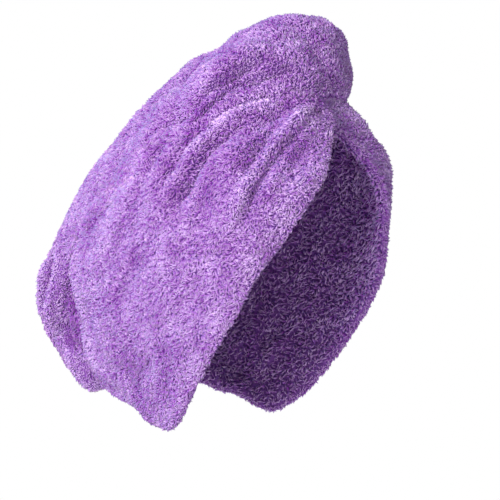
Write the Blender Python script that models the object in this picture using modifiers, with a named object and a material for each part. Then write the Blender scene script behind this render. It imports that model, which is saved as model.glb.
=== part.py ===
"""Hair turban towel of deep-pile fleece, in the shape it has while worn.

A hood of one cloth wraps the head from the forehead to the nape. Its long tail is folded back at
the forehead, lies over the crown as a thick roll, and is hooked to a button at the nape by a loop
of elastic. Metres, +Z up. The wearer faces -Y with the chin a little raised, and the wearer's
right is -X. The origin is the middle of the wearer's head.

Places on the head are given as directions from that middle. Turn goes from the face (0 degrees)
over the crown (90) and the back (180) to the nape (226) and the throat (270). Side goes from the
middle line to the wearer's right ear (90).
"""

import math
from collections import namedtuple

import bmesh
import bpy
import numpy as np
from mathutils import Matrix, Vector

# The hood's outside, from the middle of the head
HOOD_REACH = 0.100
HOOD_HALF_WIDTH = 0.081

# The cloth, doubled fleece with its pile pressed down
CLOTH_THICKNESS = 0.004
FOLD_HEIGHT = 0.008
FOLD_WIDTH = 0.022

# The right panel laps over the left one at the forehead. The left one lies lower from the lap's
# edge, between these sides, and rises again towards its temple and under the tail, in degrees.
LAP_HEIGHT = 0.008
LAP_EDGE = (-4.0, 1.0)
LAP_RISE = (-45.0, -12.0)
LAP_TOP = (70.0, 90.0)
LAP_LOWEST_TURN = -60.0

# The small gathers at the nape. Reach is the share of the hem's length they spread over to each
# side, and height the share of the way up to the crown they run.
GATHER_HEIGHT = 0.0025
GATHER_COUNT = 4
GATHER_REACH = 0.15
GATHER_RUN = 0.30

# The tail, a loose flattened roll
TAIL_HALF_WIDTH = 0.082
TAIL_THICKNESS = 0.045
TAIL_CLEARANCE = 0.001
GROOVE_DEPTH = 0.009
GROOVE_WIDTH = 0.016

# How square the tail is across and how blunt it is at its ends, 2 for round, and how thick its
# very ends are, as a share of the thickness there
TAIL_SQUARENESS = 2.2
TAIL_BLUNTNESS = 14
TAIL_END_SHARE = 0.10

# The gap in the tail's end over the button, in metres across and in degrees of turn
NOTCH_WIDTH = 0.034
NOTCH_TURN = 13.0

# The button at the nape and the elastic loop on the tail's end
BUTTON_TURN = 220.5
BUTTON_DIAMETER = 0.020
BUTTON_THICKNESS = 0.0035
SHANK_DIAMETER = 0.006
SHANK_LENGTH = 0.0045
LOOP_LENGTH = 0.0175
LOOP_CORD_DIAMETER = 0.0025
TOUCH_GAP = 0.0003

# How finely the cloth is faceted
HOOD_AROUND = 84
HOOD_RINGS = 21
POLE_TURN = 132.0
TAIL_STATIONS = 48
TAIL_TOP_POINTS = 27
TAIL_UNDER_POINTS = 15

Reach = namedtuple("Reach", "turn share fullness")
# The hood's outline on the middle line, all the way round. Shares of HOOD_REACH. Fullness is how
# boxy the hood is across there, 2 for an ellipse.
PROFILE = (
    Reach(15, 0.84, 2.1),
    Reach(43, 0.90, 2.2),
    Reach(55, 0.95, 2.2),
    Reach(66, 0.97, 2.3),
    Reach(78, 0.95, 2.4),
    Reach(92, 0.92, 2.5),
    Reach(110, 0.90, 2.6),
    Reach(125, 0.86, 2.6),
    Reach(140, 0.86, 2.6),
    Reach(155, 0.91, 2.6),
    Reach(170, 1.02, 2.6),
    Reach(183, 1.16, 2.6),
    Reach(195, 1.26, 2.6),
    Reach(210, 1.34, 2.5),
    Reach(226, 1.41, 2.4),
    Reach(242, 1.38, 2.4),
    Reach(256, 1.46, 2.3),
    Reach(268, 1.57, 2.2),
    Reach(288, 1.42, 2.2),
    Reach(312, 1.07, 2.2),
    Reach(338, 0.89, 2.1),
)

HemPoint = namedtuple("HemPoint", "turn side left")
# The hood's edge from the forehead by the right temple and ear to the nape. The left side mirrors
# the right, and left is how much higher it runs there, in degrees of turn.
HEM = (
    HemPoint(50, 0, 0),
    HemPoint(41, 8, 7),
    HemPoint(29, 18, 10),
    HemPoint(16, 31, 11),
    HemPoint(-4, 44, 9),
    HemPoint(-22, 50.5, 6),
    HemPoint(-48, 50.5, 2),
    HemPoint(-72, 45.5, 0),
    HemPoint(-88, 36, 0),
    HemPoint(-97, 28, 0),
    HemPoint(-103, 23, 0),
    HemPoint(-113, 20.5, 0),
    HemPoint(-124, 19, 0),
    HemPoint(-131, 15, 0),
    HemPoint(-134, 8, 0),
    HemPoint(-135, 0, 0),
)

Fold = namedtuple("Fold", "turn_from side_from turn_to side_to height width")
# Folds of the hood, each along the shortest way between two places. Height is a share of
# FOLD_HEIGHT, below zero for a valley, and width a share of FOLD_WIDTH.
HOOD_FOLDS = (
    Fold(57, 10, 21, 57, 0.9, 0.8),
    Fold(50, 24, 20, 54, -0.8, 0.6),
    Fold(58, 20, 44, 46, -0.9, 0.6),
    Fold(62, 22, 50, 62, 0.5, 0.9),
    Fold(52, 8, 34, 32, -0.35, 0.9),
    Fold(78, 60, 74, 74, -0.7, 1.0),
    Fold(96, 58, 170, 62, 0.5, 1.3),
    Fold(58, -12, 24, -52, 0.8, 0.9),
    Fold(56, -26, 30, -56, -0.7, 0.7),
    Fold(64, -30, 40, -66, 0.6, 1.0),
    Fold(100, -60, 165, -60, 0.5, 1.3),
    Fold(196, 33, 222, 29, -0.9, 0.8),
)

TailStation = namedtuple("TailStation", "turn half_width thickness edge")
# Along the tail from the forehead to the nape. Half width is a share of TAIL_HALF_WIDTH and
# thickness of TAIL_THICKNESS. Edge is how the thickness runs out to the sides, low for a full roll
# and high for a flat flap.
TAIL = (
    TailStation(58.5, 0.30, 0.40, 0.60),
    TailStation(61, 0.38, 0.48, 0.60),
    TailStation(65, 0.48, 0.63, 0.58),
    TailStation(71, 0.68, 0.81, 0.56),
    TailStation(78, 0.88, 0.88, 0.55),
    TailStation(86, 0.97, 0.71, 0.58),
    TailStation(96, 0.96, 0.49, 0.65),
    TailStation(108, 0.93, 0.40, 0.75),
    TailStation(125, 0.97, 0.33, 0.95),
    TailStation(142, 1.02, 0.37, 1.10),
    TailStation(153, 1.02, 0.42, 1.05),
    TailStation(166, 0.99, 0.34, 1.05),
    TailStation(180, 0.92, 0.36, 0.80),
    TailStation(193, 0.82, 0.58, 0.50),
    TailStation(204, 0.77, 0.66, 0.42),
    TailStation(213, 0.66, 0.56, 0.40),
    TailStation(221, 0.54, 0.46, 0.42),
    TailStation(227, 0.47, 0.40, 0.44),
)

Groove = namedtuple("Groove", "turn_from across_from turn_to across_to depth width")
# Grooves between the twisted strands of the tail. Across is a share of the half width, from the
# middle line to the wearer's right. Depth is a share of GROOVE_DEPTH and width of GROOVE_WIDTH.
TAIL_GROOVES = (
    Groove(58, 0.86, 100, 0.84, 0.8, 1.0),
    Groove(64, 0.34, 116, 0.66, 1.0, 1.2),
    Groove(74, -0.04, 108, 0.12, 0.4, 1.2),
    Groove(60, -0.66, 112, -0.56, 0.9, 1.2),
    Groove(112, 0.74, 158, 0.84, 0.7, 1.3),
    Groove(116, 0.24, 196, 0.40, 0.8, 1.3),
    Groove(118, -0.30, 204, -0.12, 0.8, 1.3),
    Groove(120, -0.74, 190, -0.60, 0.7, 1.3),
    Groove(188, 0.92, 212, 0.74, 1.6, 0.7),
    Groove(206, 0.96, 224, 0.66, 1.0, 0.7),
    Groove(190, -0.70, 214, -0.60, 1.0, 1.0),
)


def clear_scene():
    for old in list(bpy.data.objects):
        bpy.data.objects.remove(old)


def smooth_between(x, knots, values, period=None):
    """Values of a smooth curve through a table's rows, with level ends or closed over a period."""
    x = np.asarray(x, float)
    knots = np.asarray(knots, float)
    values = np.asarray(values, float)
    if period:
        x = np.mod(x, period)
        knots = np.concatenate([knots - period, knots, knots + period])
        values = np.tile(values, 3)
    slopes = np.gradient(values, knots)
    place = np.clip(np.searchsorted(knots, x, side="right") - 1, 0, len(knots) - 2)
    span = knots[place + 1] - knots[place]
    t = np.clip((x - knots[place]) / span, 0.0, 1.0)
    start, end = values[place], values[place + 1]
    leave, arrive = slopes[place] * span, slopes[place + 1] * span
    return (
        start * (1 + 2 * t) * (1 - t) ** 2
        + leave * t * (1 - t) ** 2
        + end * t * t * (3 - 2 * t)
        + arrive * t * t * (t - 1)
    )


def ramp(x, low, high):
    """0 below low, 1 above high and a smooth rise between them."""
    t = np.clip((np.asarray(x, float) - low) / (high - low), 0.0, 1.0)
    return t * t * (3 - 2 * t)


def direction(turn, side):
    """Unit vectors towards places on the head."""
    turn, side = np.radians(turn), np.radians(side)
    return np.stack(
        [-np.sin(side), -np.cos(side) * np.cos(turn), np.cos(side) * np.sin(turn)], axis=-1
    )


def place_of(toward):
    """Turn and side of unit vectors, with turns from -90 up to 270."""
    side = np.degrees(np.arcsin(np.clip(-toward[..., 0], -1, 1)))
    turn = np.degrees(np.arctan2(toward[..., 2], -toward[..., 1]))
    return np.where(turn < -90, turn + 360, turn), side


def plain_radius(toward):
    """Distance from the middle of the head to the hood's outside, without its folds."""
    turn, side = place_of(toward)
    turns = [row.turn for row in PROFILE]
    reach = HOOD_REACH * smooth_between(turn, turns, [row.share for row in PROFILE], period=360.0)
    fullness = smooth_between(turn, turns, [row.fullness for row in PROFILE], period=360.0)
    side = np.radians(side)
    along = np.abs(np.cos(side) / reach) ** fullness
    across = np.abs(np.sin(side) / HOOD_HALF_WIDTH) ** fullness
    return (along + across) ** (-1.0 / fullness)


def near_arc(toward, start, end):
    """Angle from each direction to the arc between two directions, and the share along it."""
    pole = np.cross(start, end)
    pole = pole / np.linalg.norm(pole)
    whole = math.acos(float(np.clip(start @ end, -1, 1)))
    ahead = np.cross(pole, start)
    along = np.arctan2(toward @ ahead, toward @ start)
    held = np.clip(along, 0.0, whole)
    nearest = np.cos(held)[..., None] * start + np.sin(held)[..., None] * ahead
    apart = np.arccos(np.clip((toward * nearest).sum(axis=-1), -1, 1))
    return apart, held / whole


def tail_shape(turn):
    """Half width, thickness and run-out of the tail's edges at a turn."""
    turns = [row.turn for row in TAIL]
    half = smooth_between(turn, turns, [row.half_width for row in TAIL]) * TAIL_HALF_WIDTH
    thick = smooth_between(turn, turns, [row.thickness for row in TAIL]) * TAIL_THICKNESS
    edge = smooth_between(turn, turns, [row.edge for row in TAIL])
    return half, thick, edge


def under_tail(toward):
    """1 where the tail covers the hood, falling to 0 outside it."""
    turn, side = place_of(toward)
    across = np.radians(side) * plain_radius(direction(turn, 0.0 * side))
    beyond = np.abs(across) / tail_shape(turn)[0]
    covered = 1.0 - ramp(beyond, 0.98, 1.15)
    return covered * ramp(turn, TAIL[0].turn - 3, TAIL[0].turn) * (1 - ramp(turn, 226, 232))


def fold_rise(toward):
    """How far the hood's folds lift its outside at each direction."""
    rise = np.zeros(toward.shape[:-1])
    radius = plain_radius(toward)
    for fold in HOOD_FOLDS:
        start = direction(fold.turn_from, fold.side_from)
        end = direction(fold.turn_to, fold.side_to)
        apart, along = near_arc(toward, start, end)
        near = apart * radius / (0.5 * fold.width * FOLD_WIDTH)
        swell = np.sin(math.pi * (0.12 + 0.76 * along))
        rise += fold.height * FOLD_HEIGHT * np.exp(-near**2) * swell
    turn, side = place_of(toward)
    lap = (1 - ramp(side, *LAP_EDGE)) * ramp(side, *LAP_RISE) * (1 - ramp(turn, *LAP_TOP))
    rise -= LAP_HEIGHT * lap * (turn > LAP_LOWEST_TURN)
    return rise * (1.0 - under_tail(toward))


def hood_point(toward, lift=0.0):
    """The hood's outside in each direction, or a point this far above it."""
    return toward * (plain_radius(toward) + fold_rise(toward) + lift)[..., None]


def mesh_object(name, points, faces, material, collection):
    mesh = bpy.data.meshes.new(name)
    mesh.from_pydata([tuple(point) for point in points], [], faces)
    shaped = bmesh.new()
    shaped.from_mesh(mesh)
    bmesh.ops.recalc_face_normals(shaped, faces=shaped.faces)
    shaped.to_mesh(mesh)
    shaped.free()
    mesh.shade_smooth()
    made = bpy.data.objects.new(name, mesh)
    made.data.materials.append(material)
    collection.objects.link(made)
    return made


def finish(name, colour, roughness):
    material = bpy.data.materials.new(name)
    material.use_nodes = True
    shader = material.node_tree.nodes["Principled BSDF"]
    shader.inputs["Base Color"].default_value = (*colour, 1.0)
    shader.inputs["Roughness"].default_value = roughness
    shader.inputs["Metallic"].default_value = 0.0
    return material


def hem_directions():
    """Evenly spaced directions round the whole hem, from the forehead by the right ear."""
    rows = list(HEM) + [HemPoint(row.turn + row.left, -row.side, 0) for row in HEM[-2:0:-1]]
    marks = direction(np.array([row.turn for row in rows]), np.array([row.side for row in rows]))
    marks = marks * plain_radius(marks)[:, None]
    steps = np.linalg.norm(np.roll(marks, -1, axis=0) - marks, axis=1)
    knots = np.concatenate([[0.0], np.cumsum(steps)])
    wanted = np.arange(HOOD_AROUND) * knots[-1] / HOOD_AROUND
    spots = np.stack(
        [smooth_between(wanted, knots[:-1], marks[:, axis], period=knots[-1]) for axis in range(3)],
        axis=-1,
    )
    return spots / np.linalg.norm(spots, axis=1)[:, None]


def nape_gathers(step, share):
    """Rise of the small gathers that run up from the nape's hem."""
    from_nape = np.abs(step / HOOD_AROUND - 0.5)
    nape = 1 - ramp(from_nape, GATHER_REACH - 0.02, GATHER_REACH + 0.02)
    wave = np.cos(math.pi * GATHER_COUNT * from_nape / GATHER_REACH)
    return GATHER_HEIGHT * wave * nape * (1 - ramp(share, 0.0, GATHER_RUN))


def make_hood(collection, material):
    """An open surface from the hem to a pole at the back of the crown, thickened inwards."""
    start = hem_directions()
    pole = direction(POLE_TURN, 0.0)
    whole = np.arccos(np.clip(start @ pole, -1, 1))
    steps = np.arange(HOOD_AROUND)
    points = []
    for ring in range(HOOD_RINGS):
        share = ring / HOOD_RINGS
        toward = (
            np.sin((1 - share) * whole)[:, None] * start + np.sin(share * whole)[:, None] * pole
        ) / np.sin(whole)[:, None]
        rise = nape_gathers(steps, share) * (1 - under_tail(toward))
        points.extend(hood_point(toward, rise))
    points.append(hood_point(pole))
    faces = []
    for ring in range(HOOD_RINGS - 1):
        for step in range(HOOD_AROUND):
            here, ahead = ring * HOOD_AROUND + step, ring * HOOD_AROUND + (step + 1) % HOOD_AROUND
            faces.append((here, ahead, ahead + HOOD_AROUND, here + HOOD_AROUND))
    last = (HOOD_RINGS - 1) * HOOD_AROUND
    for step in range(HOOD_AROUND):
        faces.append((last + step, last + (step + 1) % HOOD_AROUND, len(points) - 1))
    hood = mesh_object("hood", points, faces, material, collection)
    wall = hood.modifiers.new("wall", "SOLIDIFY")
    wall.thickness = CLOTH_THICKNESS
    wall.offset = -1.0
    wall.use_even_offset = True
    wall.use_rim = True
    return hood


def groove_depth(turn, across, half):
    """How far the twist's grooves press the tail's top down."""
    depth = np.zeros(np.shape(across))
    for groove in TAIL_GROOVES:
        along = (turn - groove.turn_from) / (groove.turn_to - groove.turn_from)
        middle = groove.across_from + (groove.across_to - groove.across_from) * along
        apart = (across - middle) * half / (0.5 * groove.width * GROOVE_WIDTH)
        fade = ramp(along, -0.10, 0.15) * (1 - ramp(along, 0.85, 1.10))
        depth += groove.depth * np.exp(-apart**2) * fade
    return depth * GROOVE_DEPTH


def make_tail(collection, material):
    """Closed sections along the middle line, each lying on the hood and rounded on top."""
    first, last = TAIL[0].turn, TAIL[-1].turn
    share = np.arange(TAIL_STATIONS) / (TAIL_STATIONS - 1)
    along = 0.45 * (0.5 - 0.5 * np.cos(math.pi * share)) + 0.55 * share
    top = np.sin(np.linspace(-0.5 * math.pi, 0.5 * math.pi, TAIL_TOP_POINTS))
    under = np.linspace(1.0, -1.0, TAIL_UNDER_POINTS)[1:-1]
    points = []
    for place in along:
        turn = first + (last - first) * place
        half, thick, edge = tail_shape(turn)
        blunt = np.sqrt(1.0 - min(1.0, abs(2 * place - 1)) ** TAIL_BLUNTNESS)
        ends = min(1.0, blunt + TAIL_END_SHARE)
        across = np.concatenate([top, under])
        crown = np.clip(1.0 - np.abs(top) ** TAIL_SQUARENESS, 0, 1) ** edge
        height = thick * ends * crown
        height -= np.minimum(groove_depth(turn, top, half) * crown, 0.45 * height)
        lift = np.concatenate([height, np.zeros(len(under))]) + TAIL_CLEARANCE
        offset = across * half * (0.85 + 0.15 * ends)
        middle = plain_radius(direction(turn, 0.0))
        notch = np.exp(-((2 * offset / NOTCH_WIDTH) ** 2)) * ramp(turn, last - 30, last)
        toward = direction(turn - NOTCH_TURN * notch, np.degrees(offset / middle))
        points.extend(hood_point(toward, lift))
    count = TAIL_TOP_POINTS + len(under)
    faces = []
    for station in range(TAIL_STATIONS - 1):
        for step in range(count):
            here, ahead = station * count + step, station * count + (step + 1) % count
            faces.append((here, ahead, ahead + count, here + count))
    faces.append(tuple(range(count)))
    faces.append(tuple(range((TAIL_STATIONS - 1) * count, TAIL_STATIONS * count)))
    return mesh_object("twisted_tail", points, faces, material, collection)


def nape_frame():
    """Place of the button on the hood: its foot, the way out and the way up the middle line."""
    here = hood_point(direction(BUTTON_TURN, 0.0))
    above = hood_point(direction(BUTTON_TURN - 2.0, 0.0))
    up = Vector(above - here).normalized()
    out = up.cross(Vector((1.0, 0.0, 0.0))).normalized()
    if out.dot(Vector(here)) < 0:
        out.negate()
    return Vector(here), out, up


def make_button(collection, material):
    """Turned button: a shank that stands on the cloth and a rounded disc on it."""
    foot, out, up = nape_frame()
    radius, shank = 0.5 * BUTTON_DIAMETER, 0.5 * SHANK_DIAMETER
    top = TOUCH_GAP + SHANK_LENGTH + BUTTON_THICKNESS
    edge = 0.25 * BUTTON_THICKNESS
    profile = (
        (0.0, top),
        (radius - 2.2 * edge, top),
        (radius - 0.6 * edge, top - 0.6 * edge),
        (radius, top - 2 * edge),
        (radius - 0.6 * edge, top - 3.4 * edge),
        (radius - 2.2 * edge, top - BUTTON_THICKNESS),
        (shank, top - BUTTON_THICKNESS),
        (shank, TOUCH_GAP),
        (0.0, TOUCH_GAP),
    )
    mesh = bpy.data.meshes.new("button")
    mesh.from_pydata([(x, 0.0, z) for x, z in profile], [(i, i + 1) for i in range(8)], [])
    button = bpy.data.objects.new("button", mesh)
    button.data.materials.append(material)
    collection.objects.link(button)
    turned = button.modifiers.new("turned", "SCREW")
    turned.steps = turned.render_steps = 24
    turned.use_merge_vertices = True
    turned.merge_threshold = 0.00005
    turned.use_smooth_shade = False
    sideways = up.cross(out)
    button.matrix_world = Matrix(
        [[sideways[i], up[i], out[i], foot[i]] for i in range(3)] + [[0, 0, 0, 1]]
    )
    return button


def make_loop(collection, material):
    """Closed loop of elastic round the button's shank, stretched up to the tail's end."""
    foot, out, up = nape_frame()
    sideways = up.cross(out)
    turn_radius = 0.5 * SHANK_DIAMETER + TOUCH_GAP + 0.5 * LOOP_CORD_DIAMETER
    straight = LOOP_LENGTH - 2 * turn_radius - LOOP_CORD_DIAMETER
    height = TOUCH_GAP + 0.55 * SHANK_LENGTH
    curve = bpy.data.curves.new("button_loop", "CURVE")
    curve.dimensions = "3D"
    curve.bevel_depth = 0.5 * LOOP_CORD_DIAMETER
    curve.bevel_resolution = 2
    curve.use_fill_caps = True
    spline = curve.splines.new("POLY")
    spots = []
    for step in range(10):
        angle = math.pi + math.pi * step / 9
        spots.append((turn_radius * math.cos(angle), turn_radius * math.sin(angle)))
    for step in range(10):
        angle = math.pi * step / 9
        spots.append((turn_radius * math.cos(angle), straight + turn_radius * math.sin(angle)))
    spline.points.add(len(spots) - 1)
    for point, (x, y) in zip(spline.points, spots):
        spot = foot + sideways * x + up * y + out * height
        point.co = (*spot, 1.0)
    spline.use_cyclic_u = True
    loop = bpy.data.objects.new("button_loop", curve)
    loop.data.materials.append(material)
    collection.objects.link(loop)
    return loop


def main():
    clear_scene()
    collection = bpy.data.collections.new("hair turban towel")
    bpy.context.scene.collection.children.link(collection)
    fleece = finish("lilac fleece", (0.42, 0.22, 0.60), 0.9)
    plastic = finish("lilac plastic", (0.38, 0.20, 0.52), 0.4)
    elastic = finish("lilac elastic", (0.34, 0.18, 0.48), 0.8)
    make_hood(collection, fleece)
    make_tail(collection, fleece)
    make_button(collection, plastic)
    make_loop(collection, elastic)


main()
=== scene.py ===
"""Looks of a hair turban towel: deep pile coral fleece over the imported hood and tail.

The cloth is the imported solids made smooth, with the finer folds that the cloth takes where it is
gathered at the forehead and at the nape. The pile is about two hundred thousand small leaning
tufts whose tips draw together into clumps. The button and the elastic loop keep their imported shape.

Places on the head are given as turn and side, in degrees from the middle of the head. Turn goes
from the face (0) over the crown (90) and the back (180) to the nape (226). Side goes from the
middle line to the wearer's right ear (90).
"""

import math
from collections import namedtuple

import bmesh
import bpy
import numpy as np
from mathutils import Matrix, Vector, bvhtree, kdtree


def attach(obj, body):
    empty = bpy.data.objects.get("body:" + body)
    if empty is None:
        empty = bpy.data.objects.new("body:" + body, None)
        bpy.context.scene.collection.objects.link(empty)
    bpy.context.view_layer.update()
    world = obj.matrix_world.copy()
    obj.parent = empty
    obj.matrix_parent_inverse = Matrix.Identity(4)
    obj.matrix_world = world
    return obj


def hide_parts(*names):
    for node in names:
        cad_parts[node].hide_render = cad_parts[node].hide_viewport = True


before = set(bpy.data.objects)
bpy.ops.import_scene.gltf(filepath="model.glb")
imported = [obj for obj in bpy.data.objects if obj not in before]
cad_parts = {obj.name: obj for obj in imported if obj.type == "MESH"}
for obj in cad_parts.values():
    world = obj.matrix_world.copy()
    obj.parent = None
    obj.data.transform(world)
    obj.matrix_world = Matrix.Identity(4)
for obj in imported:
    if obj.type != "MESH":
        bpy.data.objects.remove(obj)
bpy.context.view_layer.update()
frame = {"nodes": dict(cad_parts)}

# A tuft of pile in metres: its length along the cloth, its height, half its width, and how deep its
# foot stands in the cloth. Each tuft's own sizes vary by the factors below.
TUFT_LENGTH = 0.0018
TUFT_HEIGHT = 0.0016
TUFT_HALF_WIDTH = 0.00043
TUFT_FOOT = 0.0009
LENGTH_RANGE = (0.75, 1.25)
HEIGHT_RANGE = (0.8, 1.2)
WIDTH_RANGE = (0.8, 1.25)

# Each tuft has a foot in the cloth, a broad rear and a tip. How high and how far back the rear is,
# as shares of the tuft's height and length, and where it lies on the colour ramp from the foot's
# painted shade to the tip's painted light.
REAR_HEIGHT = 0.55
REAR_LENGTH = 0.35
REAR_SHADE = 0.45

# Some tufts stand up: their share, and how much higher they are
STANDING = 0.22
STANDING_HEIGHT = 1.7

# Tufts have this share of their size along the cloth's edges, which face neither out nor in. They
# grow to full size between these two values of outward, taken without their sign.
RIM_SHARE = 0.6
RIM_OUTWARD = (0.1, 0.5)

# A clump pulls the tips of the tufts within reach towards its own tip, by this share of the way.
# Its tip is this far along and this high, as shares of a tuft's length and height, and the height
# varies by up to the last share.
CLUMP_REACH = 0.004
CLUMP_PULL = 0.35
CLUMP_LEAN = 0.55
CLUMP_HEIGHT = 1.15
CLUMP_SPREAD = 0.3

# The pile lies along the grain, turned by two smooth drifts, each an angle in radians and a span in
# metres, and by a small angle of each tuft's own
LONG_SWING = (0.8, 0.016)
SHORT_SWING = (1.5, 0.0045)
OWN_SWING = 0.25

# The pile's shade goes from 0 for deep to 1 for pale. How much of it is the clump's own and not the
# tuft's, how much soft patches add and how much the folds add, as painted shade in their valleys and
# painted light on their ridges, how far apart the patches are, and how high a fold is that adds all
# of its part.
CLUMP_SHADE = 0.4
PATCH_SHADE = 0.14
PATCH_SPAN = 0.022
FOLD_SHADE = 0.50
FULL_FOLD = 0.0040

# The size of the lining's tufts, where the outer ones are 1
LINING_SIZE = 1.4

# Tufts and clumps for each square metre of cloth
TUFTS_OUTSIDE = 1_420_000
TUFTS_INSIDE = 330_000
CLUMPS = 400_000

# How far each cloth is sunk, so that the pile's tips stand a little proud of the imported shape
HOOD_SINK = 0.0008
TAIL_SINK = 0.0012

# Gaps to the other cloth between which a cloth takes up its free movement
STILL_WITHIN = 0.0015
FREE_BEYOND = 0.0060

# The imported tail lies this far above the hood. Its underside and edges settle by most of that, as
# far up as the second height, and keep the seam's gap.
TAIL_LIES_AT = 0.0010
SETTLE_WITHIN = 0.0040
SETTLE = 0.0007
SEAM_GAP = 0.00025

# The pile along the seam: within this distance of the other cloth, tufts of this size are added,
# this many for each square metre
SEAM_WIDTH = 0.0028
SEAM_SIZE = 1.35
TUFTS_AT_SEAM = 2_500_000

# Where the tail stands further off the hood than this, the pile goes on under it
HOLLOW = 0.0020

# The values of outward above which the hood has its outer pile, the tail has its pile, and the tail
# has its seam's pile. Below the first one the hood has its lining.
OUTER_SIDE = -0.5
TAIL_SIDE = -0.75
TAIL_SEAM_SIDE = -0.7
# The tail folds from the first value of outward on, and fully from the second
TAIL_FOLDS = (-0.5, 0.0)

# Where rays towards the middle of the head start, how far out a place lies that they miss, how far
# a look from one cloth to the other goes, and what stands for no cloth found
RAY_START = 0.4
MISSED_AT = 0.1
LOOK_DOWN = 0.08
LOOK_UP = 0.06
FAR_OFF = 1.0

# How many points a fold's path gets between two of its places, how many widths from it the fold
# ends, and between which shares of its path, counted from either end, it rises
PATH_STEPS = 14
FOLD_REACH = 2.5
FOLD_END = (-0.12, 0.20)

# Smooth random values are sums of this many waves, which seldom reach this height
WAVES = 5
WAVE_PEAK = 2.2

# The cloth's soft unevenness: how high and how far apart
LUMP_HEIGHT = 0.0009
LUMP_SPAN = 0.028

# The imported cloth's faces are halved this many times to make it smooth. First its corners closer
# than this become one, and its triangles become quads where they differ by less than this.
HALVINGS = 2
SAME_PLACE = 1e-6
QUADS_WITHIN = math.radians(60)

Fold = namedtuple("Fold", "path height width pinch")
# Folds that the cloth takes from the gather at the forehead to the nape, each along places given
# as turn and side. Height and width in metres, height below zero for a valley. Pinch is how sharp
# the fold is, 2 for a soft round one and 1 for a crease.
RIGHT_FOLDS = (
    Fold(
        ((56, 9), (52, 20), (50, 29), (45, 39), (37, 49), (27, 55), (14, 60)),
        0.0054, 0.0090, 1.8,
    ),
    Fold(((48, 21), (46, 29), (40, 39), (35, 46), (26, 53), (14, 59)), -0.0063, 0.0095, 1.6),
    Fold(((54, 23), (53, 31), (47, 41), (41, 50)), -0.0059, 0.0095, 1.6),
    Fold(((51, 10), (45, 22), (39, 33), (31, 42), (22, 50)), 0.0020, 0.0070, 1.8),
    Fold(((45, 19), (41, 26), (36, 31)), -0.0049, 0.0150, 2.0),
    Fold(((59, 2), (56, 16), (59, 26), (59, 38), (61, 46)), -0.0051, 0.0085, 1.4),
    Fold(((57, -4), (50, 16), (48, 26)), -0.0022, 0.0070, 1.5),
    Fold(
        ((63, 30), (65, 39), (71, 48), (74, 55), (77, 60), (81, 69), (80, 75)),
        -0.0066, 0.0080, 1.4,
    ),
    Fold(
        ((64, 15), (67, 24), (72, 33), (78, 43), (87, 51), (95, 60), (108, 68)),
        -0.0070, 0.0078, 1.4,
    ),
    Fold(
        ((69, 22), (73, 31), (79, 39), (87, 45), (103, 48), (114, 56), (134, 64)),
        -0.0058, 0.0082, 1.5,
    ),
    Fold(((64, 22), (69, 30), (75, 41), (80, 51), (87, 61)), 0.0049, 0.0110, 2.0),
    Fold(((65, 40), (69, 48), (74, 58), (79, 66), (83, 75)), -0.0054, 0.0100, 1.6),
    Fold(((55, 51), (54, 62), (43, 73)), -0.0041, 0.0150, 2.0),
    Fold(((78, 25), (90, 21), (98, 23), (96, 35)), -0.0054, 0.0150, 2.0),
    Fold(((113, 61), (136, 66), (169, 65), (194, 59)), -0.0026, 0.0120, 1.8),
    Fold(((133, 49), (155, 49), (173, 44), (188, 41)), -0.0026, 0.0120, 1.8),
    Fold(((124, 57), (150, 58), (175, 54), (196, 50)), 0.0020, 0.0140, 2.0),
    Fold(((196, 73), (215, 61), (224, 50)), -0.0020, 0.0120, 2.0),
    Fold(
        ((188, 36), (197, 35), (203, 33), (210, 31), (216, 28.5), (226, 27), (233, 27)),
        0.0055, 0.0095, 1.8,
    ),
    Fold(
        ((187, 26.5), (191, 25.6), (194, 25), (197.5, 23.9), (201.2, 22.2), (205, 20)),
        -0.0095, 0.0085, 1.6,
    ),
    Fold(((190, 23.6), (195.7, 22), (199.6, 20.2), (204, 18.4)), 0.0042, 0.0080, 1.8),
    Fold(
        ((188, 29), (194, 29), (198, 28.4), (202, 26.6), (205.5, 24.2), (209, 20.5), (213, 17.5)),
        0.0052, 0.0075, 1.8,
    ),
    Fold(((203, 28.6), (206.7, 26.6), (210, 24.6), (213, 22.4), (217, 20)), -0.0105, 0.0125, 1.8),
    Fold(((214, 19), (218, 17.8), (222, 16), (226, 13)), 0.0045, 0.0100, 2.0),
    Fold(((226, 42), (231, 40), (238, 36), (245, 28)), -0.0044, 0.0080, 1.5),
    Fold(((252, 43), (248, 36), (246, 28)), -0.0039, 0.0080, 1.5),
    Fold(((235, 48), (243, 41), (245, 33)), -0.0026, 0.0070, 1.5),
    Fold(((262, 52), (264, 44), (257, 33)), -0.0020, 0.0110, 1.8),
    Fold(((37, 17), (22, 34), (2, 49), (-30, 57), (-67, 53), (-85, 44)), 0.0014, 0.0120, 2.0),
)
MIDDLE_FOLDS = (
    Fold(((62, 2), (76, 8), (90, 14), (104, 16)), -0.0022, 0.0110, 1.8),
    Fold(((104, 18), (120, 22), (136, 26), (160, 24)), -0.0026, 0.0120, 1.8),
    Fold(((112, 2), (136, 6), (160, 4), (184, 8)), -0.0026, 0.0120, 1.8),
    Fold(((120, 12), (144, 14), (170, 14)), 0.0020, 0.0130, 2.0),
    Fold(((192, 14), (204, 12), (216, 6)), -0.0036, 0.0100, 1.8),
    Fold(((190, -4), (204, -2), (218, -2)), 0.0022, 0.0120, 2.0),
    Fold(((70, -10), (84, -16), (100, -20), (118, -18)), -0.0024, 0.0110, 1.8),
    Fold(((126, -12), (150, -16), (176, -14)), -0.0026, 0.0120, 1.8),
    Fold(((192, -16), (204, -12), (216, -8)), -0.0036, 0.0100, 1.8),
)
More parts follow.
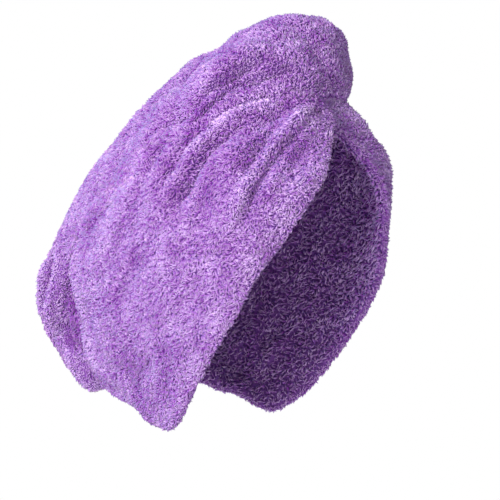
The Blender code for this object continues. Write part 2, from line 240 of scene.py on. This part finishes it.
LEFT_FOLDS = (
    Fold(((58, -12), (48, -26), (36, -40), (22, -52), (6, -58)), 0.0030, 0.0090, 1.8),
    Fold(((52, -22), (42, -36), (30, -48), (16, -56)), -0.0034, 0.0085, 1.6),
    Fold(((62, -26), (66, -40), (72, -52), (80, -66)), -0.0034, 0.0090, 1.6),
    Fold(((68, -34), (78, -46), (92, -54), (112, -62)), -0.0030, 0.0090, 1.6),
    Fold(((116, -52), (140, -56), (168, -52), (190, -46)), -0.0026, 0.0120, 1.8),
    Fold(((130, -64), (156, -66), (184, -62)), 0.0022, 0.0140, 2.0),
    Fold(((188, -37), (204, -33), (220, -29), (234, -25)), 0.0030, 0.0110, 2.0),
    Fold(((196, -29), (206, -25), (214, -20)), -0.0044, 0.0090, 1.8),
    Fold(((226, -42), (236, -36), (245, -28)), -0.0034, 0.0080, 1.5),
    Fold(((252, -43), (248, -36), (246, -28)), -0.0030, 0.0080, 1.5),
)
FOLDS = RIGHT_FOLDS + MIDDLE_FOLDS + LEFT_FOLDS
# The place where the hood's folds start
GATHER = (57, 4)

# The camera: its azimuth and elevation, its distance and its shift to the right and up in metres,
# and its lens and sensor in millimetres
CAMERA_AZIMUTH = math.radians(-52.0)
CAMERA_ELEVATION = math.radians(5.0)
CAMERA_DISTANCE = 1.5
CAMERA_SHIFT = (-0.00364, -0.0109)
LENS = 178.2
SENSOR = 36.0

# How bright the sky is in front, where it is 1 behind the towel, and between which cosines from
# straight behind it changes
FRONT_SKY = 0.48
SKY_EDGE = (0.6, 0.96)

# The key lamp: its watts and its side, its place in metres towards the camera, to the right and up,
# and the point that it faces
KEY_POWER = 27.5
KEY_SIDE = 0.7
KEY_PLACE = (1.3, -0.66, 0.48)
KEY_AIM = (0, 0.02, 0)

# The floor's height and radius
FLOOR_HEIGHT = -0.45
FLOOR_RADIUS = 1.3


def linear(code):
    """Linear colour of an sRGB hex code."""
    parts = [int(code[i : i + 2], 16) / 255 for i in (0, 2, 4)]
    return (*(p / 12.92 if p <= 0.04045 else ((p + 0.055) / 1.055) ** 2.4 for p in parts), 1.0)


def ramp(x, low, high):
    """0 below low, 1 above high and a smooth rise between them."""
    t = np.clip((np.asarray(x, float) - low) / (high - low), 0.0, 1.0)
    return t * t * (3 - 2 * t)


def direction(turn, side):
    """Unit vectors towards places on the head."""
    turn, side = np.radians(turn), np.radians(side)
    return np.stack(
        [-np.sin(side), -np.cos(side) * np.cos(turn), np.cos(side) * np.sin(turn)], axis=-1
    )


def unit(vectors):
    """The same vectors at length 1."""
    return vectors / np.maximum(np.linalg.norm(vectors, axis=-1, keepdims=True), 1e-9)


def outward(points, normals):
    """1 where a normal points away from the middle of the head, -1 where it points to it."""
    return (unit(points) * normals).sum(axis=1)


def outermost(toward, surfaces):
    """The points where rays from outside towards the middle of the head first meet a surface."""
    found = []
    for way in map(Vector, toward):
        hits = [surface.ray_cast(RAY_START * way, -way)[0] for surface in surfaces]
        hits = [hit for hit in hits if hit is not None]
        found.append(max(hits, key=lambda hit: hit.length) if hits else MISSED_AT * way)
    return np.array(found)


def lay_folds(surfaces):
    """Each fold's path laid on the outermost cloth, as points and how far along it each one is."""
    laid = []
    for fold in FOLDS:
        marks = direction(*np.array(fold.path, float).T)
        places = np.linspace(0, len(marks) - 1, 1 + PATH_STEPS * (len(marks) - 1))
        ways = np.stack([np.interp(places, range(len(marks)), column) for column in marks.T], axis=1)
        spots = outermost(unit(ways), surfaces)
        steps = np.linalg.norm(spots[1:] - spots[:-1], axis=1)
        laid.append((spots, np.concatenate([[0.0], np.cumsum(steps)]) / steps.sum()))
    return laid


def fold_rise(points, laid):
    """How far the folds lift each point."""
    rise = np.zeros(len(points))
    for fold, (spots, along) in zip(FOLDS, laid):
        reach = FOLD_REACH * fold.width
        low, high = spots.min(axis=0) - reach, spots.max(axis=0) + reach
        close = np.flatnonzero(((points > low) & (points < high)).all(axis=1))
        apart = np.linalg.norm(points[close, None] - spots[None], axis=2)
        near = apart.min(axis=1) / (0.5 * fold.width)
        share = along[apart.argmin(axis=1)]
        fade = ramp(share, *FOLD_END) * ramp(1 - share, *FOLD_END)
        rise[close] += fold.height * np.exp(-(near**fold.pinch)) * fade
    return rise


def drift(points, seed, scale):
    """Three smooth random values at each point, between about -1 and 1, that change over scale."""
    rng = np.random.default_rng(seed)
    total = np.zeros((len(points), 3))
    for part in range(3):
        for _ in range(WAVES):
            way = unit(rng.normal(size=3)) / scale * rng.uniform(0.6, 1.5)
            total[:, part] += np.sin(2 * math.pi * (points @ way) + rng.uniform(0, 6.28))
    return total / WAVE_PEAK


def nearest_in(points, cloud):
    """For each point, the distance to the nearest point of the cloud and that one's number."""
    tree = kdtree.KDTree(len(cloud))
    for number, spot in enumerate(cloud):
        tree.insert(spot, number)
    tree.balance()
    found = [tree.find(spot) for spot in points]
    return np.array([row[2] for row in found]), np.array([row[1] for row in found])


def corners_of(mesh):
    """Its vertices as an array."""
    flat = np.empty(3 * len(mesh.vertices), np.float32)
    mesh.vertices.foreach_get("co", flat)
    return flat.reshape(-1, 3).astype(float)


def normals_of(mesh):
    """Its vertex normals as an array."""
    flat = np.empty(3 * len(mesh.vertices), np.float32)
    mesh.vertices.foreach_get("normal", flat)
    return flat.reshape(-1, 3).astype(float)


def surface_of(cloth):
    """Its present surface, for rays and distances."""
    return bvhtree.BVHTree.FromObject(cloth, bpy.context.evaluated_depsgraph_get())


def move_to(cloth, points):
    """Gives a cloth's vertices their new places."""
    cloth.data.vertices.foreach_set("co", points.astype(np.float32).ravel())
    cloth.data.update()


def smooth_copy(name, node):
    """A smooth closed copy of a packed cloth, with quads in the place of its triangles."""
    shaped = bmesh.new()
    shaped.from_mesh(node.data)
    bmesh.ops.remove_doubles(shaped, verts=shaped.verts, dist=SAME_PLACE)
    bmesh.ops.join_triangles(
        shaped,
        faces=shaped.faces,
        angle_face_threshold=QUADS_WITHIN,
        angle_shape_threshold=QUADS_WITHIN,
    )
    bmesh.ops.recalc_face_normals(shaped, faces=shaped.faces)
    rough = bpy.data.meshes.new(name + "_rough")
    shaped.to_mesh(rough)
    shaped.free()
    made = bpy.data.objects.new(name, rough)
    bpy.context.scene.collection.objects.link(made)
    rounder = made.modifiers.new("rounder", "SUBSURF")
    rounder.levels = rounder.render_levels = HALVINGS
    ready = made.evaluated_get(bpy.context.evaluated_depsgraph_get())
    made.data = bpy.data.meshes.new_from_object(ready)
    made.data.name = name
    made.modifiers.clear()
    made.data.materials.clear()
    made.data.shade_smooth()
    return made


def fold_hood(hood, surface, laid, tail_points):
    """Folds the hood and sinks it by part of the pile, but not where it meets the tail. The lining
    moves with the outside above it."""
    points = corners_of(hood.data)
    gap, _ = nearest_in(points, tail_points)
    loose = ramp(gap, STILL_WITHIN, FREE_BEYOND)
    outside = outermost(unit(points), [surface])
    rise = fold_rise(outside, laid) + LUMP_HEIGHT * drift(outside, 5, LUMP_SPAN)[:, 0]
    move_to(hood, points + unit(points) * ((rise - HOOD_SINK) * loose)[:, None])


def height_over(points, under):
    """How far each point lies above a surface, on the way to the middle of the head."""
    found = [under.ray_cast(spot, -spot, LOOK_DOWN)[3] for spot in map(Vector, points)]
    return np.array([FAR_OFF if gap is None else gap for gap in found])


def fold_tail(tail, laid, under):
    """Folds the tail on its open side and lets its underside and its edges settle on the hood."""
    points, normals = corners_of(tail.data), normals_of(tail.data)
    away = ramp(outward(points, normals), *TAIL_FOLDS)
    loose = ramp(height_over(points, under), STILL_WITHIN, FREE_BEYOND) * away
    rise = fold_rise(points, laid) + LUMP_HEIGHT * drift(points, 5, LUMP_SPAN)[:, 0] - TAIL_SINK
    points = points + normals * (rise * loose)[:, None]
    gaps = height_over(points, under)
    drop = SETTLE * (1 - ramp(gaps, TAIL_LIES_AT, SETTLE_WITHIN))
    drop = np.minimum(drop, np.maximum(gaps - SEAM_GAP, 0.0))
    move_to(tail, points - unit(points) * drop[:, None])


def spots_on(cloth, per_area, seed):
    """Evenly strewn points on a cloth: their places and the cloth's normals there."""
    mesh = cloth.data
    mesh.calc_loop_triangles()
    corners = np.empty(3 * len(mesh.loop_triangles), np.int32)
    mesh.loop_triangles.foreach_get("vertices", corners)
    corners = corners.reshape(-1, 3)
    points, normals = corners_of(mesh), normals_of(mesh)
    a, b, c = (points[corners[:, i]] for i in range(3))
    area = np.linalg.norm(np.cross(b - a, c - a), axis=1) / 2
    marks = np.cumsum(area) * per_area
    rng = np.random.default_rng(seed)
    wanted = np.arange(int(marks[-1])) + rng.uniform(0.1, 0.9, int(marks[-1]))
    face = np.searchsorted(marks, wanted)
    r = np.sqrt(rng.random(len(face)))
    s = rng.random(len(face))
    shares = np.stack([1 - r, r * (1 - s), r * s], axis=1)
    spots = (points[corners[face]] * shares[:, :, None]).sum(axis=1)
    ways = unit((normals[corners[face]] * shares[:, :, None]).sum(axis=1))
    return spots, ways


def strew(cloth, per_area, seed, keep):
    """The evenly strewn points that a rule keeps, with the cloth's normals there."""
    spots, ways = spots_on(cloth, per_area, seed)
    kept = keep(spots, ways)
    return spots[kept], ways[kept]


def lean_ways(spots, ways, grain_of, seed):
    """The way that the pile lies at each spot: along the cloth's grain, turned by smooth drift."""
    rng = np.random.default_rng(seed)
    grain = unit(np.cross(ways, np.cross(grain_of(spots), ways)))
    across = np.cross(ways, grain)
    (far_angle, far_span), (near_angle, near_span) = LONG_SWING, SHORT_SWING
    swing = far_angle * drift(spots, 11, far_span)[:, 0]
    swing += near_angle * drift(spots, 12, near_span)[:, 0]
    swing += rng.normal(0, OWN_SWING, len(spots))
    turned = grain * np.cos(swing)[:, None] + across * np.sin(swing)[:, None]
    return unit(turned - ways * (turned * ways).sum(axis=1)[:, None])


def pile(cloth, per_area, seed, keep, grain_of, size, laid):
    """Leaning tufts on a cloth, in clumps, as arrays of points, places along a tuft and shades."""
    rng = np.random.default_rng(seed)
    spots, ways = strew(cloth, per_area, seed, keep)
    hubs, hub_ways = strew(cloth, CLUMPS, seed + 1, keep)
    lean = lean_ways(spots, ways, grain_of, seed + 2)
    hub_lean = lean_ways(hubs, hub_ways, grain_of, seed + 2)
    count = len(spots)
    flat = ramp(np.abs(outward(spots, ways)), *RIM_OUTWARD)
    size = size * (RIM_SHARE + (1 - RIM_SHARE) * flat)
    length = size * TUFT_LENGTH * rng.uniform(*LENGTH_RANGE, count)
    height = size * TUFT_HEIGHT * rng.uniform(*HEIGHT_RANGE, count)
    height *= np.where(rng.random(count) < STANDING, STANDING_HEIGHT, 1.0)
    tips = spots + lean * length[:, None] + ways * height[:, None]
    far, mate = nearest_in(spots + 0.5 * lean * length[:, None], hubs)
    same_side = (ways * hub_ways[mate]).sum(axis=1) > 0.3
    hub_rise = TUFT_HEIGHT * (CLUMP_HEIGHT + CLUMP_SPREAD * rng.random(len(hubs)))
    hub_tip = CLUMP_LEAN * TUFT_LENGTH * hub_lean + hub_rise[:, None] * hub_ways
    pull = np.where(same_side & (far < CLUMP_REACH), CLUMP_PULL, 0.0)[:, None]
    tips = tips * (1 - pull) + (hubs[mate] + size[:, None] * hub_tip[mate]) * pull
    feet = spots - ways * TUFT_FOOT
    across = unit(np.cross(ways, tips - spots))
    half = np.sqrt(size) * TUFT_HALF_WIDTH * rng.uniform(*WIDTH_RANGE, count)
    rear = spots + ways * (REAR_HEIGHT * height)[:, None] - lean * (REAR_LENGTH * length)[:, None]
    points = np.stack(
        [feet, rear + across * half[:, None], rear - across * half[:, None], tips], axis=1
    )
    # Places on the colour ramp: the foot gets the root's painted shade, the tip the tip's painted
    # light
    along = np.tile([0.0, REAR_SHADE, REAR_SHADE, 1.0], (count, 1))
    hub_shade = rng.random(len(hubs))
    shade = CLUMP_SHADE * hub_shade[mate] + (1 - CLUMP_SHADE) * rng.random(count)
    shade += PATCH_SHADE * drift(spots, 13, PATCH_SPAN)[:, 0]
    # Painted shade: the folds' valleys make the pile darker and purer, and their ridges paler as
    # painted light
    shade += FOLD_SHADE * np.clip(fold_rise(spots, laid) / FULL_FOLD, -1, 1)
    return points, along, np.repeat(shade[:, None], 4, axis=1)


# The four sides of a tuft: its foot is 0, the two corners of its rear are 1 and 2, its tip is 3
TUFT_FACES = np.array([(1, 3, 2), (0, 1, 2), (0, 2, 3), (0, 3, 1)])


def pile_object(name, tufts, picked, material):
    """One joined mesh of the picked tufts."""
    points, along, shade = (part[picked] for part in tufts)
    count = len(points)
    faces = (TUFT_FACES[None] + 4 * np.arange(count)[:, None, None]).reshape(-1, 3)
    mesh = bpy.data.meshes.new(name)
    mesh.vertices.add(4 * count)
    mesh.vertices.foreach_set("co", points.astype(np.float32).ravel())
    mesh.loops.add(3 * len(faces))
    mesh.loops.foreach_set("vertex_index", faces.astype(np.int32).ravel())
    mesh.polygons.add(len(faces))
    mesh.polygons.foreach_set("loop_start", 3 * np.arange(len(faces), dtype=np.int32))
    mesh.update(calc_edges=True)
    for label, values in (("along", along), ("shade", shade)):
        mesh.attributes.new(label, "FLOAT", "POINT").data.foreach_set(
            "value", values.astype(np.float32).ravel()
        )
    mesh.shade_smooth()
    mesh.materials.append(material)
    made = bpy.data.objects.new(name, mesh)
    bpy.context.scene.collection.objects.link(made)
    return made


def new_material(name):
    """A material with its nodes, its shader and a small helper that adds a node with its links."""
    material = bpy.data.materials.new(name)
    material.use_nodes = True
    nodes, links = material.node_tree.nodes, material.node_tree.links

    def add(kind, settings=None, **inputs):
        node = nodes.new(kind)
        for key, value in (settings or {}).items():
            setattr(node, key, value)
        for key, value in inputs.items():
            socket = node.inputs[int(key[1:]) if key[0] == "i" and key[1:].isdigit() else key]
            if isinstance(value, bpy.types.NodeSocket):
                links.new(value, socket)
            else:
                socket.default_value = value
        return node

    return material, nodes["Principled BSDF"], add, links


def coral_fleece(name, root, body, tip):
    """Coral fleece pile of fine polyester microfibre. Its colour runs from deep purple at a tuft's
    foot, painted shade in the gaps between the clumps, over lilac sides to pale pinkish tips, painted
    light on the tips. The shade value makes it darker and purer or paler: random tone of clumps and
    tufts, soft patches, and painted shade in the folds' valleys with painted light on their ridges. A
    soft bluish sheen shows where the pile is seen from the side."""
    material, shader, add, links = new_material(name)
    along = add("ShaderNodeAttribute", {"attribute_name": "along"}).outputs["Fac"]
    shade = add("ShaderNodeAttribute", {"attribute_name": "shade"}).outputs["Fac"]
    # From the root's deep purple, painted shade between the tufts, to the tip's pale pink, painted
    # light
    colours = add("ShaderNodeValToRGB", i0=along)
    stops = colours.color_ramp.elements
    stops[0].position, stops[0].color = 0.0, linear(root)
    stops[1].position, stops[1].color = 1.0, linear(tip)
    middle = stops.new(0.55)
    middle.color = linear(body)
    # Low shade values, among them the folds' painted shade, give a darker and purer colour; high
    # ones, among them the ridges' painted light, a paler one
    lighter = add("ShaderNodeMapRange", None, i0=shade, i1=0.0, i2=1.0, i3=0.70, i4=1.22)
    purer = add("ShaderNodeMapRange", None, i0=shade, i1=0.0, i2=1.0, i3=1.24, i4=0.76)
    tinted = add(
        "ShaderNodeHueSaturation",
        None,
        Color=colours.outputs["Color"],
        Saturation=purer.outputs[0],
        Value=lighter.outputs[0],
    )
    links.new(tinted.outputs["Color"], shader.inputs["Base Color"])
    shader.inputs["Roughness"].default_value = 0.85
    shader.inputs["Specular IOR Level"].default_value = 0.25
    shader.inputs["Sheen Weight"].default_value = 0.5
    shader.inputs["Sheen Roughness"].default_value = 0.45
    shader.inputs["Sheen Tint"].default_value = linear("B0ACFF")
    return material


def ground_cloth():
    """Knitted ground of the fleece under its pile, seen only between tufts, its purple darker than
    the pile's as painted shade of the gaps.
    """
    material, shader, add, links = new_material("fleece_ground")
    place = add("ShaderNodeTexCoord").outputs["Object"]
    knit = add("ShaderNodeTexNoise", None, Vector=place, Scale=650.0, Detail=2.0)
    # A knit pattern in a purple darker than the pile's, painted shade of the gaps between the tufts
    mixed = add(
        "ShaderNodeMix",
        {"data_type": "RGBA"},
        i0=knit.outputs["Fac"],
        i6=linear("7A469C"),
        i7=linear("9A64BC"),
    )
    links.new(mixed.outputs[2], shader.inputs["Base Color"])
    shader.inputs["Roughness"].default_value = 0.95
    shader.inputs["Specular IOR Level"].default_value = 0.15
    return material


def button_plastic():
    """Lilac polyester button, satin, with faint cloudy shade in the plastic."""
    material, shader, add, links = new_material("button_plastic")
    place = add("ShaderNodeTexCoord").outputs["Object"]
    cloud = add("ShaderNodeTexNoise", None, Vector=place, Scale=180.0, Detail=3.0)
    mixed = add(
        "ShaderNodeMix",
        {"data_type": "RGBA"},
        i0=cloud.outputs["Fac"],
        i6=linear("8E62AE"),
        i7=linear("A479C4"),
    )
    links.new(mixed.outputs[2], shader.inputs["Base Color"])
    shader.inputs["Roughness"].default_value = 0.38
    return material


def woven_elastic():
    """Braided cover of elastic cord, matt, with fine ribs about half a millimetre apart."""
    material, shader, add, links = new_material("elastic")
    place = add("ShaderNodeTexCoord").outputs["Object"]
    ribs = add("ShaderNodeTexWave", {"bands_direction": "DIAGONAL"}, Vector=place, Scale=620.0)
    mixed = add(
        "ShaderNodeMix",
        {"data_type": "RGBA"},
        i0=ribs.outputs["Fac"],
        i6=linear("7A509A"),
        i7=linear("9A70BA"),
    )
    links.new(mixed.outputs[2], shader.inputs["Base Color"])
    bump = add("ShaderNodeBump", None, Height=ribs.outputs["Fac"], Distance=0.0002, Strength=0.5)
    links.new(bump.outputs["Normal"], shader.inputs["Normal"])
    shader.inputs["Roughness"].default_value = 0.8
    return material


def plain(name, code, roughness):
    """Even matt paint of the studio."""
    material, shader, _, _ = new_material(name)
    shader.inputs["Base Color"].default_value = linear(code)
    shader.inputs["Roughness"].default_value = roughness
    return material


def hood_grain(spots):
    """The hood's pile runs out from the gather at the forehead."""
    return unit(spots) - unit(direction(*GATHER))


def tail_grain(spots):
    """The tail's pile runs along it, over the crown and down the back."""
    return np.cross(unit(spots), np.array([1.0, 0.0, 0.0]))


def make_cloth():
    """The two cloths with their pile."""
    nodes = frame["nodes"]
    hood = smooth_copy("hood_cloth", nodes["hood"])
    tail = smooth_copy("tail_cloth", nodes["twisted_tail"])
    hood_surface, tail_surface = surface_of(hood), surface_of(tail)
    laid = lay_folds([hood_surface, tail_surface])
    fold_hood(hood, hood_surface, laid, corners_of(tail.data))
    fold_tail(tail, laid, surface_of(hood))
    ground = ground_cloth()
    hood.data.materials.append(ground)
    tail.data.materials.append(ground)
    # Root colour as painted shade between the tufts, tip colour as painted light on them
    fleece = coral_fleece("coral_fleece", "6A2C8C", "A66AC4", "E0B8EC")
    hood_points, tail_points = corners_of(hood.data), corners_of(tail.data)
    over_hood = surface_of(tail)

    def open_outside(spots, ways):
        above = [over_hood.ray_cast(spot, spot, LOOK_UP)[3] for spot in map(Vector, spots)]
        free = np.array([gap is None or gap > HOLLOW for gap in above])
        return (outward(spots, ways) > OUTER_SIDE) & free

    def inner_side(spots, ways):
        return outward(spots, ways) <= OUTER_SIDE

    def tail_top(spots, ways):
        gap, _ = nearest_in(spots, hood_points)
        return (outward(spots, ways) > TAIL_SIDE) | (gap > HOLLOW)

    def hood_seam(spots, ways):
        gap, _ = nearest_in(spots, tail_points)
        return (gap < SEAM_WIDTH) & open_outside(spots, ways)

    def tail_seam(spots, ways):
        gap, _ = nearest_in(spots, hood_points)
        return (gap < SEAM_WIDTH) & (outward(spots, ways) > TAIL_SEAM_SIDE)

    worn = {}
    for name, cloth, density, seed, keep, grain, size, parts in (
        ("hood_pile", hood, TUFTS_OUTSIDE, 21, open_outside, hood_grain, 1.0, 3),
        ("hood_lining_pile", hood, TUFTS_INSIDE, 31, inner_side, hood_grain, LINING_SIZE, 1),
        ("hood_seam_pile", hood, TUFTS_AT_SEAM, 51, hood_seam, hood_grain, SEAM_SIZE, 1),
        ("tail_pile", tail, TUFTS_OUTSIDE, 41, tail_top, tail_grain, 1.0, 3),
        ("tail_seam_pile", tail, TUFTS_AT_SEAM, 61, tail_seam, tail_grain, SEAM_SIZE, 1),
    ):
        tufts = pile(cloth, density, seed, keep, grain, size, laid)
        across = tufts[0][:, :, 0].mean(axis=1)
        cuts = np.quantile(across, np.linspace(0, 1, parts + 1))
        for number in range(parts):
            part_name = name if parts == 1 else name + ("_right", "_middle", "_left")[number]
            last = number == parts - 1
            picked = (across >= cuts[number]) & ((across < cuts[number + 1]) | last)
            worn.setdefault(cloth.name, []).append(pile_object(part_name, tufts, picked, fleece))
    for cloth, node in ((hood, "hood"), (tail, "twisted_tail")):
        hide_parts(node)
        for piece in [cloth, *worn[cloth.name]]:
            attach(piece, "root")


def finish_fastening():
    """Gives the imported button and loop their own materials."""
    for node, material in (("button", button_plastic()), ("button_loop", woven_elastic())):
        piece = frame["nodes"][node]
        for place in piece.material_slots:
            place.link = "OBJECT"
            place.material = material


def soft_light(name, spot, aim, size, power, code):
    """A large square lamp that looks at a point."""
    lamp = bpy.data.lights.new(name, "AREA")
    lamp.shape, lamp.size, lamp.energy, lamp.color = "SQUARE", size, power, linear(code)[:3]
    made = bpy.data.objects.new(name, lamp)
    made.location = spot
    made.rotation_mode = "QUATERNION"
    made.rotation_quaternion = (Vector(aim) - Vector(spot)).to_track_quat("-Z", "Y")
    bpy.context.scene.collection.objects.link(made)


def make_studio():
    """A pale disc of floor well below the towel, a soft lamp, a pale sky and the camera."""
    scene = bpy.context.scene
    az, el = CAMERA_AZIMUTH, CAMERA_ELEVATION
    back = Vector((math.sin(az) * math.cos(el), -math.cos(az) * math.cos(el), math.sin(el)))
    turn = (-back).to_track_quat("-Z", "Y")
    right, up = turn @ Vector((1, 0, 0)), turn @ Vector((0, 1, 0))
    lens = bpy.data.cameras.new("camera")
    lens.sensor_width, lens.lens = SENSOR, LENS
    camera = bpy.data.objects.new("camera", lens)
    camera.rotation_mode = "QUATERNION"
    camera.rotation_quaternion = turn
    aside, higher = CAMERA_SHIFT
    camera.location = back * CAMERA_DISTANCE + right * aside + up * higher
    scene.collection.objects.link(camera)
    scene.camera = camera

    shaped = bmesh.new()
    bmesh.ops.create_circle(shaped, cap_ends=True, segments=64, radius=FLOOR_RADIUS)
    bmesh.ops.translate(shaped, verts=shaped.verts, vec=(0, 0, FLOOR_HEIGHT))
    disc = bpy.data.meshes.new("floor")
    shaped.to_mesh(disc)
    shaped.free()
    disc.materials.append(plain("studio_floor", "FBFAFC", 0.9))
    floor = bpy.data.objects.new("floor", disc)
    scene.collection.objects.link(floor)

    world = bpy.data.worlds.new("sky")
    world.use_nodes = True
    nodes, links = world.node_tree.nodes, world.node_tree.links
    sky = nodes["Background"]
    way = nodes.new("ShaderNodeTexCoord").outputs["Generated"]
    behind = nodes.new("ShaderNodeVectorMath")
    behind.operation = "DOT_PRODUCT"
    behind.inputs[1].default_value = -back
    links.new(way, behind.inputs[0])
    spread = nodes.new("ShaderNodeMapRange")
    spread.interpolation_type = "SMOOTHSTEP"
    for number, value in enumerate((*SKY_EDGE, FRONT_SKY, 1.0), start=1):
        spread.inputs[number].default_value = value
    links.new(behind.outputs["Value"], spread.inputs[0])
    links.new(spread.outputs[0], sky.inputs["Strength"])
    sky.inputs["Color"].default_value = linear("FFFFFF")
    scene.world = world
    scene.view_settings.view_transform = "Standard"
    scene.view_settings.look = "None"

    near, aside, higher = KEY_PLACE
    spot = back * near + right * aside + up * higher
    soft_light("key", spot, KEY_AIM, KEY_SIDE, KEY_POWER, "FFFFFF")


make_cloth()
finish_fastening()
make_studio()
